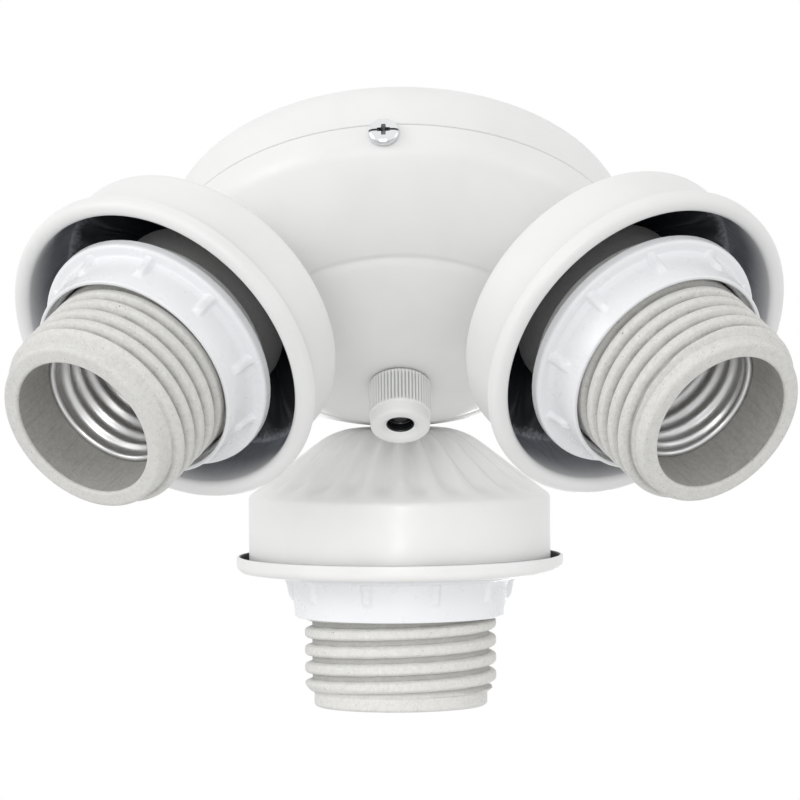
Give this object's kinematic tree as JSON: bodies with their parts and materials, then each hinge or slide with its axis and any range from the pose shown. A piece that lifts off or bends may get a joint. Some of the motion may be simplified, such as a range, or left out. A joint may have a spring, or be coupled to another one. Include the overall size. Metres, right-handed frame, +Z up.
{
  "type": "ceiling fan light kit",
  "caption": "Ceiling fan light kit: round white housing with a pull switch and angled fluted cups, each holding a threaded porcelain screw-lamp socket with a shade ring.",
  "frame": {"origin": "centre of the flat top face, on the axis of the threaded nipple that hangs the kit from the fan", "axes": "+Z up along the housing's axis, -Y towards the front of the picture between the two front arms, +X to the picture's right"},
  "size_m": [0.1532, 0.1437, 0.095],
  "materials": {
    "white_coat": "smooth satin powder coat",
    "chrome_screw": "bright plated",
    "zinc_steel": "zinc plated",
    "black_plastic": "moulded phenolic",
    "orange_plastic": "moulded nylon",
    "porcelain": "unglazed, speckled",
    "shell_aluminium": "bright rolled",
    "contact_brass": "spring strip",
    "white_plastic": "glossy moulded",
    "black_insulation": "smooth wire insulation",
    "white_insulation": "smooth wire insulation"
  },
  "bodies": {
    "fixture": {"mounting_cap": "white_coat", "lower_bowl": "white_coat", "switch_knurled_nut": "white_coat", "side_screw_1": "chrome_screw", "side_screw_2": "chrome_screw", "side_screw_3": "chrome_screw", "top_nipple": "zinc_steel", "top_lock_washer": "zinc_steel", "top_nut": "zinc_steel", "switch_bushing": "zinc_steel", "switch_back_nut": "zinc_steel", "switch_body": "black_plastic", "hot_connector": "orange_plastic", "neutral_connector": "orange_plastic", "left_cup": "white_coat", "left_socket_body": "porcelain", "left_screw_shell": "shell_aluminium", "left_nipple": "zinc_steel", "left_nipple_nut": "zinc_steel", "left_bracket": "zinc_steel", "left_socket_screw_1": "zinc_steel", "left_socket_screw_2": "zinc_steel", "left_hot_lead": "black_insulation", "left_neutral_lead": "white_insulation", "right_cup": "white_coat", "right_socket_body": "porcelain", "right_screw_shell": "shell_aluminium", "right_nipple": "zinc_steel", "right_nipple_nut": "zinc_steel", "right_bracket": "zinc_steel", "right_socket_screw_1": "zinc_steel", "right_socket_screw_2": "zinc_steel", "right_hot_lead": "black_insulation", "right_neutral_lead": "white_insulation", "rear_cup": "white_coat", "rear_socket_body": "porcelain", "rear_screw_shell": "shell_aluminium", "rear_nipple": "zinc_steel", "rear_nipple_nut": "zinc_steel", "rear_bracket": "zinc_steel", "rear_socket_screw_1": "zinc_steel", "rear_socket_screw_2": "zinc_steel", "rear_hot_lead": "black_insulation", "rear_neutral_lead": "white_insulation"},
    "left_ring": {"left_shade_ring": "white_plastic"},
    "left_contact": {"left_center_contact": "contact_brass"},
    "right_ring": {"right_shade_ring": "white_plastic"},
    "right_contact": {"right_center_contact": "contact_brass"},
    "rear_ring": {"rear_shade_ring": "white_plastic"},
    "rear_contact": {"rear_center_contact": "contact_brass"},
    "puller": {"switch_puller": "black_plastic"}
  },
  "joints": [
    {"name": "left_ring_slide", "type": "slide", "parent": "fixture", "child": "left_ring", "axis": [-0.5043, -0.2911, -0.813], "range_m": [0, 0.025]},
    {"name": "left_contact_flex", "type": "hinge", "parent": "fixture", "child": "left_contact", "pos_m": [-0.0387, -0.02234, -0.05176], "axis": [-0.5, 0.866, 0], "range_deg": [0, 12], "stiffness_Nm_per_rad": 0.05},
    {"name": "right_ring_slide", "type": "slide", "parent": "fixture", "child": "right_ring", "axis": [0.5043, -0.2911, -0.813], "range_m": [0, 0.025]},
    {"name": "right_contact_flex", "type": "hinge", "parent": "fixture", "child": "right_contact", "pos_m": [0.0387, -0.02234, -0.05176], "axis": [-0.5, -0.866, 0], "range_deg": [0, 12], "stiffness_Nm_per_rad": 0.05},
    {"name": "rear_ring_slide", "type": "slide", "parent": "fixture", "child": "rear_ring", "axis": [0, 0.5823, -0.813], "range_m": [0, 0.025]},
    {"name": "rear_contact_flex", "type": "hinge", "parent": "fixture", "child": "rear_contact", "pos_m": [0, 0.04468, -0.05176], "axis": [1, 0, 0], "range_deg": [0, 12], "stiffness_Nm_per_rad": 0.05},
    {"name": "puller_slide", "type": "slide", "parent": "fixture", "child": "puller", "axis": [0, 0, -1], "range_m": [0, 0.005], "stiffness_N_per_m": 300}
  ]
}
